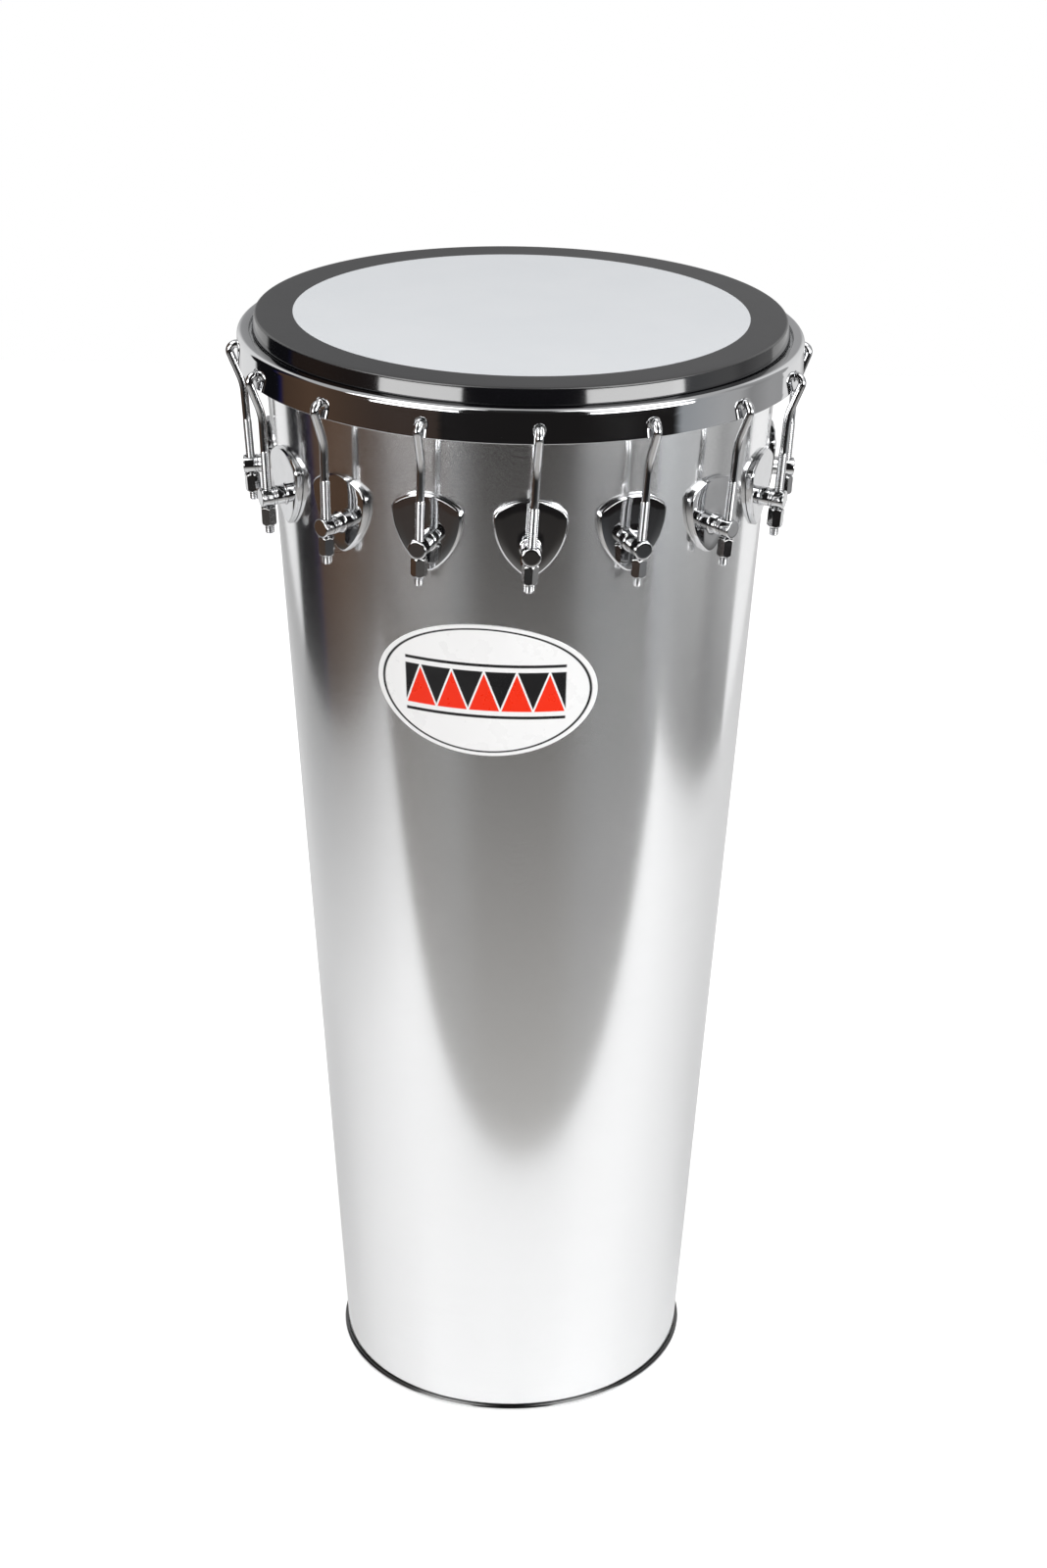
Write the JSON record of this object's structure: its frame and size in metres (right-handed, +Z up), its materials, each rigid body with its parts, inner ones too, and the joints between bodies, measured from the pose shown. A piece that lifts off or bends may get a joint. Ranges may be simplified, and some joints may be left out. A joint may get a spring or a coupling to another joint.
{
  "type": "timbal drum",
  "caption": "Tall conical aluminium hand drum, open at the foot, with a plastic head held by a chromed tension hoop, hook rods, lugs and long tuning nuts.",
  "frame": {"origin": "on the floor under the middle of the drum, on its axis", "axes": "+Z up along the drum's axis towards the head, -Y towards the badge"},
  "size_m": [0.3948, 0.3948, 0.8],
  "materials": {
    "shell_metal": "finely brushed round the drum and polished",
    "chrome": "bright chrome plating",
    "steel_wire": "plain drawn wire",
    "flesh_hoop_metal": "plain mill finish",
    "head_film": "pale satin centre, glossy black border and collar",
    "badge_vinyl": "printed vinyl sticker"
  },
  "bodies": {
    "drum_body": {"shell": "shell_metal", "bead_wire": "steel_wire", "badge": "badge_vinyl", "lug_01": "chrome", "lug_02": "chrome", "lug_03": "chrome", "lug_04": "chrome", "lug_05": "chrome", "lug_06": "chrome", "lug_07": "chrome", "lug_08": "chrome", "lug_09": "chrome", "lug_10": "chrome", "lug_11": "chrome", "lug_12": "chrome", "lug_13": "chrome", "lug_14": "chrome", "lug_15": "chrome", "lug_16": "chrome"},
    "tuning_hoop": {"tension_hoop": "chrome", "flesh_hoop": "flesh_hoop_metal", "drum_head": "head_film", "hook_01": "chrome", "hook_02": "chrome", "hook_03": "chrome", "hook_04": "chrome", "hook_05": "chrome", "hook_06": "chrome", "hook_07": "chrome", "hook_08": "chrome", "hook_09": "chrome", "hook_10": "chrome", "hook_11": "chrome", "hook_12": "chrome", "hook_13": "chrome", "hook_14": "chrome", "hook_15": "chrome", "hook_16": "chrome"},
    "nut_01": {"nut_01": "chrome"},
    "nut_02": {"nut_02": "chrome"},
    "nut_03": {"nut_03": "chrome"},
    "nut_04": {"nut_04": "chrome"},
    "nut_05": {"nut_05": "chrome"},
    "nut_06": {"nut_06": "chrome"},
    "nut_07": {"nut_07": "chrome"},
    "nut_08": {"nut_08": "chrome"},
    "nut_09": {"nut_09": "chrome"},
    "nut_10": {"nut_10": "chrome"},
    "nut_11": {"nut_11": "chrome"},
    "nut_12": {"nut_12": "chrome"},
    "nut_13": {"nut_13": "chrome"},
    "nut_14": {"nut_14": "chrome"},
    "nut_15": {"nut_15": "chrome"},
    "nut_16": {"nut_16": "chrome"}
  },
  "joints": [
    {"name": "nut_01_turn", "type": "hinge", "parent": "drum_body", "child": "nut_01", "pos_m": [0.00641, -0.18258, 0.67926], "axis": [-0.0491, 0.0587, -0.9971], "range_deg": [0, 1441]},
    {"name": "nut_02_turn", "type": "hinge", "parent": "drum_body", "child": "nut_02", "pos_m": [0.0758, -0.16623, 0.67926], "axis": [-0.0678, 0.0355, -0.9971], "range_deg": [0, 1441]},
    {"name": "nut_03_turn", "type": "hinge", "parent": "drum_body", "child": "nut_03", "pos_m": [0.13364, -0.12457, 0.67926], "axis": [-0.0762, 0.0068, -0.9971], "range_deg": [0, 1441]},
    {"name": "nut_04_turn", "type": "hinge", "parent": "drum_body", "child": "nut_04", "pos_m": [0.17114, -0.06395, 0.67926], "axis": [-0.073, -0.0229, -0.9971], "range_deg": [0, 1441]},
    {"name": "nut_05_turn", "type": "hinge", "parent": "drum_body", "child": "nut_05", "pos_m": [0.18258, 0.00641, 0.67926], "axis": [-0.0587, -0.0491, -0.9971], "range_deg": [0, 1441]},
    {"name": "nut_06_turn", "type": "hinge", "parent": "drum_body", "child": "nut_06", "pos_m": [0.16623, 0.0758, 0.67926], "axis": [-0.0355, -0.0678, -0.9971], "range_deg": [0, 1441]},
    {"name": "nut_07_turn", "type": "hinge", "parent": "drum_body", "child": "nut_07", "pos_m": [0.12457, 0.13364, 0.67926], "axis": [-0.0068, -0.0762, -0.9971], "range_deg": [0, 1441]},
    {"name": "nut_08_turn", "type": "hinge", "parent": "drum_body", "child": "nut_08", "pos_m": [0.06395, 0.17114, 0.67926], "axis": [0.0229, -0.073, -0.9971], "range_deg": [0, 1441]},
    {"name": "nut_09_turn", "type": "hinge", "parent": "drum_body", "child": "nut_09", "pos_m": [-0.00641, 0.18258, 0.67926], "axis": [0.0491, -0.0587, -0.9971], "range_deg": [0, 1441]},
    {"name": "nut_10_turn", "type": "hinge", "parent": "drum_body", "child": "nut_10", "pos_m": [-0.0758, 0.16623, 0.67926], "axis": [0.0678, -0.0355, -0.9971], "range_deg": [0, 1441]},
    {"name": "nut_11_turn", "type": "hinge", "parent": "drum_body", "child": "nut_11", "pos_m": [-0.13364, 0.12457, 0.67926], "axis": [0.0762, -0.0068, -0.9971], "range_deg": [0, 1441]},
    {"name": "nut_12_turn", "type": "hinge", "parent": "drum_body", "child": "nut_12", "pos_m": [-0.17114, 0.06395, 0.67926], "axis": [0.073, 0.0229, -0.9971], "range_deg": [0, 1441]},
    {"name": "nut_13_turn", "type": "hinge", "parent": "drum_body", "child": "nut_13", "pos_m": [-0.18258, -0.00641, 0.67926], "axis": [0.0587, 0.0491, -0.9971], "range_deg": [0, 1441]},
    {"name": "nut_14_turn", "type": "hinge", "parent": "drum_body", "child": "nut_14", "pos_m": [-0.16623, -0.0758, 0.67926], "axis": [0.0355, 0.0678, -0.9971], "range_deg": [0, 1441]},
    {"name": "nut_15_turn", "type": "hinge", "parent": "drum_body", "child": "nut_15", "pos_m": [-0.12457, -0.13364, 0.67926], "axis": [0.0068, 0.0762, -0.9971], "range_deg": [0, 1441]},
    {"name": "nut_16_turn", "type": "hinge", "parent": "drum_body", "child": "nut_16", "pos_m": [-0.06395, -0.17114, 0.67926], "axis": [-0.0229, 0.073, -0.9971], "range_deg": [0, 1441]},
    {"name": "hoop_lift", "type": "slide", "parent": "drum_body", "child": "tuning_hoop", "axis": [0, 0, 1], "range_m": [0, 0.00508]}
  ],
  "couplings": [
    {"joint": "nut_01_turn", "follows": "hoop_lift", "rad_per_m": 4947.4},
    {"joint": "nut_02_turn", "follows": "hoop_lift", "rad_per_m": 4947.4},
    {"joint": "nut_03_turn", "follows": "hoop_lift", "rad_per_m": 4947.4},
    {"joint": "nut_04_turn", "follows": "hoop_lift", "rad_per_m": 4947.4},
    {"joint": "nut_05_turn", "follows": "hoop_lift", "rad_per_m": 4947.4},
    {"joint": "nut_06_turn", "follows": "hoop_lift", "rad_per_m": 4947.4},
    {"joint": "nut_07_turn", "follows": "hoop_lift", "rad_per_m": 4947.4},
    {"joint": "nut_08_turn", "follows": "hoop_lift", "rad_per_m": 4947.4},
    {"joint": "nut_09_turn", "follows": "hoop_lift", "rad_per_m": 4947.4},
    {"joint": "nut_10_turn", "follows": "hoop_lift", "rad_per_m": 4947.4},
    {"joint": "nut_11_turn", "follows": "hoop_lift", "rad_per_m": 4947.4},
    {"joint": "nut_12_turn", "follows": "hoop_lift", "rad_per_m": 4947.4},
    {"joint": "nut_13_turn", "follows": "hoop_lift", "rad_per_m": 4947.4},
    {"joint": "nut_14_turn", "follows": "hoop_lift", "rad_per_m": 4947.4},
    {"joint": "nut_15_turn", "follows": "hoop_lift", "rad_per_m": 4947.4},
    {"joint": "nut_16_turn", "follows": "hoop_lift", "rad_per_m": 4947.4}
  ]
}
